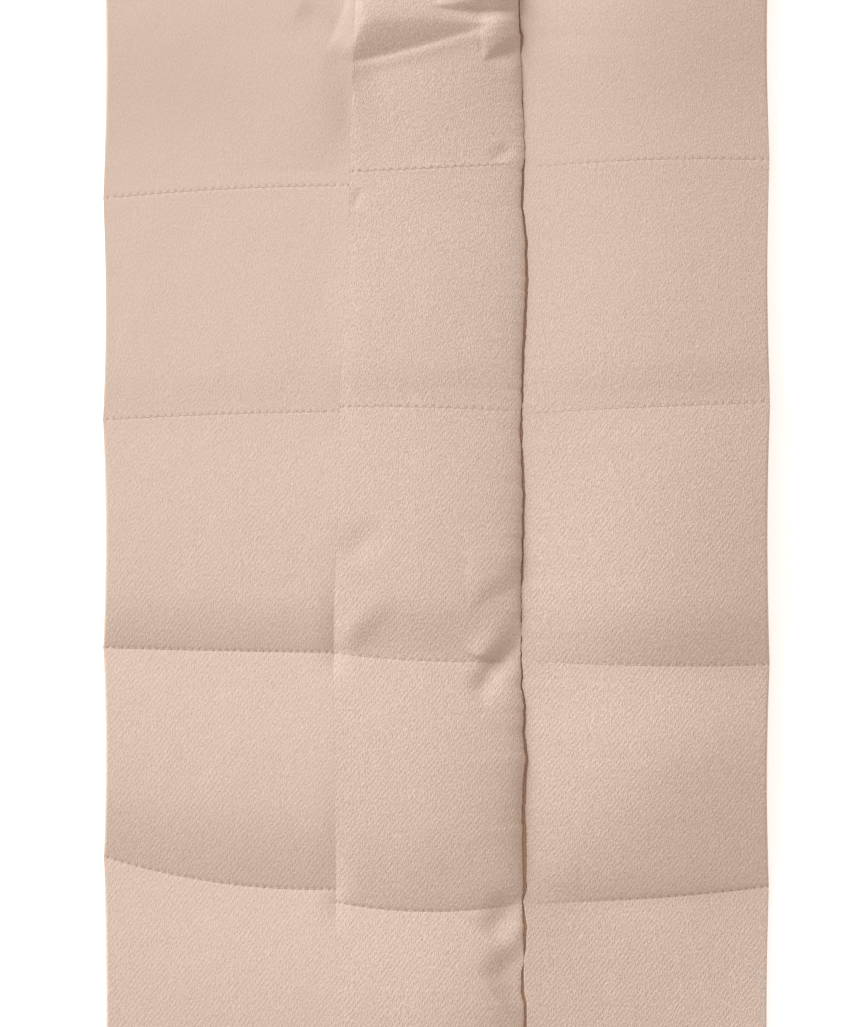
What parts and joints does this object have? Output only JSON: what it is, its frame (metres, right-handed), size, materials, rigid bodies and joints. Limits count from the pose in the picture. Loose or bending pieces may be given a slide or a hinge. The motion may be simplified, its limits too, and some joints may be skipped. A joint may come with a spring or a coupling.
{
  "type": "channel-quilted down cloth with a placket",
  "caption": "Cut length of down-filled wool twill, sewn across into sagging channels, with a padded placket lapping over the right panel; lies flat on its back.",
  "frame": {"origin": "on the surface that the cloth lies on, under the middle of the piece", "axes": "+Z out of the quilted face, +Y along the placket towards the top edge, +X across towards the right panel"},
  "size_m": [0.223, 0.407, 0.0199],
  "materials": {
    "left_panel_twill": "brushed beige wool twill, matt",
    "placket_twill": "brushed beige wool twill, matt",
    "right_panel_twill": "brushed beige wool twill, matt"
  },
  "bodies": {
    "root": {"left_panel": "left_panel_twill", "placket": "placket_twill", "right_panel": "right_panel_twill"}
  },
  "joints": []
}
